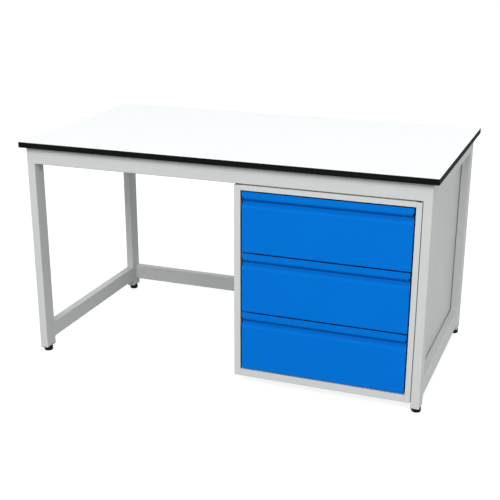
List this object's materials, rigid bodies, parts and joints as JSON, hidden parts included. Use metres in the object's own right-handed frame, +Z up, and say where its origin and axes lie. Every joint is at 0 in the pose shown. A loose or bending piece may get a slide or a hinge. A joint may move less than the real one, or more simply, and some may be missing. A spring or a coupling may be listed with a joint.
{
  "type": "laboratory bench with drawer pedestal",
  "caption": "Laboratory bench: a laminate worktop on a rectangular steel tube frame with levelling feet, and a hung drawer pedestal with grooved pull fronts on telescopic runners.",
  "frame": {"origin": "on the floor, under the middle of the worktop", "axes": "+X to the user's right along the worktop, -Y towards the user, +Z up"},
  "size_m": [1.5, 0.83, 0.82],
  "materials": {
    "laminate_white": "fine matt white decor of a compact laminate",
    "phenolic_black": "machined and polished black phenolic core",
    "frame_grey": "light grey powder coat",
    "casing_grey": "light grey powder coat",
    "drawer_blue": "bright blue powder coat",
    "tray_grey": "light grey powder coat",
    "zinc_steel": "bright zinc plate",
    "plastic_black": "moulded black polyamide"
  },
  "bodies": {
    "bench": {"worktop_core": "phenolic_black", "worktop_surface": "laminate_white", "leg_front_left": "frame_grey", "leg_front_right": "frame_grey", "leg_rear_left": "frame_grey", "leg_rear_right": "frame_grey", "rail_front": "frame_grey", "rail_rear": "frame_grey", "rail_left": "frame_grey", "rail_right": "frame_grey", "stretcher_left": "frame_grey", "stretcher_right": "frame_grey", "stretcher_rear": "frame_grey", "hanger_tube_left": "frame_grey", "hanger_tube_right": "frame_grey", "hanger_bolt_front_left": "zinc_steel", "leg_plug_front_left": "plastic_black", "hanger_bolt_front_right": "zinc_steel", "leg_plug_front_right": "plastic_black", "hanger_bolt_rear_left": "zinc_steel", "leg_plug_rear_left": "plastic_black", "hanger_bolt_rear_right": "zinc_steel", "leg_plug_rear_right": "plastic_black", "casing_left_side": "casing_grey", "casing_right_side": "casing_grey", "casing_top": "casing_grey", "casing_base": "casing_grey", "casing_back": "casing_grey", "runner_outer_top_left": "zinc_steel", "runner_outer_top_right": "zinc_steel", "runner_outer_middle_left": "zinc_steel", "runner_outer_middle_right": "zinc_steel", "runner_outer_bottom_left": "zinc_steel", "runner_outer_bottom_right": "zinc_steel"},
    "drawer_top": {"drawer_front_top": "drawer_blue", "drawer_box_top": "tray_grey", "runner_inner_top_left": "zinc_steel", "runner_inner_top_right": "zinc_steel"},
    "runners_top": {"runner_middle_top_left": "zinc_steel", "runner_middle_top_right": "zinc_steel"},
    "drawer_middle": {"drawer_front_middle": "drawer_blue", "drawer_box_middle": "tray_grey", "runner_inner_middle_left": "zinc_steel", "runner_inner_middle_right": "zinc_steel"},
    "runners_middle": {"runner_middle_middle_left": "zinc_steel", "runner_middle_middle_right": "zinc_steel"},
    "drawer_bottom": {"drawer_front_bottom": "drawer_blue", "drawer_box_bottom": "tray_grey", "runner_inner_bottom_left": "zinc_steel", "runner_inner_bottom_right": "zinc_steel"},
    "runners_bottom": {"runner_middle_bottom_left": "zinc_steel", "runner_middle_bottom_right": "zinc_steel"},
    "foot_front_left": {"foot_glide_front_left": "plastic_black", "foot_stud_front_left": "zinc_steel"},
    "foot_front_right": {"foot_glide_front_right": "plastic_black", "foot_stud_front_right": "zinc_steel"},
    "foot_rear_left": {"foot_glide_rear_left": "plastic_black", "foot_stud_rear_left": "zinc_steel"},
    "foot_rear_right": {"foot_glide_rear_right": "plastic_black", "foot_stud_rear_right": "zinc_steel"}
  },
  "joints": [
    {"name": "drawer_top_slide", "type": "slide", "parent": "bench", "child": "drawer_top", "axis": [0, -1, 0], "range_m": [0, 0.6]},
    {"name": "runners_top_slide", "type": "slide", "parent": "bench", "child": "runners_top", "axis": [0, -1, 0], "range_m": [0, 0.3]},
    {"name": "drawer_middle_slide", "type": "slide", "parent": "bench", "child": "drawer_middle", "axis": [0, -1, 0], "range_m": [0, 0.6]},
    {"name": "runners_middle_slide", "type": "slide", "parent": "bench", "child": "runners_middle", "axis": [0, -1, 0], "range_m": [0, 0.3]},
    {"name": "drawer_bottom_slide", "type": "slide", "parent": "bench", "child": "drawer_bottom", "axis": [0, -1, 0], "range_m": [0, 0.6]},
    {"name": "runners_bottom_slide", "type": "slide", "parent": "bench", "child": "runners_bottom", "axis": [0, -1, 0], "range_m": [0, 0.3]},
    {"name": "foot_front_left_level", "type": "slide", "parent": "bench", "child": "foot_front_left", "axis": [0, 0, -1], "range_m": [0, 0.02]},
    {"name": "foot_front_right_level", "type": "slide", "parent": "bench", "child": "foot_front_right", "axis": [0, 0, -1], "range_m": [0, 0.02]},
    {"name": "foot_rear_left_level", "type": "slide", "parent": "bench", "child": "foot_rear_left", "axis": [0, 0, -1], "range_m": [0, 0.02]},
    {"name": "foot_rear_right_level", "type": "slide", "parent": "bench", "child": "foot_rear_right", "axis": [0, 0, -1], "range_m": [0, 0.02]}
  ],
  "couplings": [
    {"joint": "runners_top_slide", "follows": "drawer_top_slide", "ratio": 0.5},
    {"joint": "runners_middle_slide", "follows": "drawer_middle_slide", "ratio": 0.5},
    {"joint": "runners_bottom_slide", "follows": "drawer_bottom_slide", "ratio": 0.5}
  ]
}
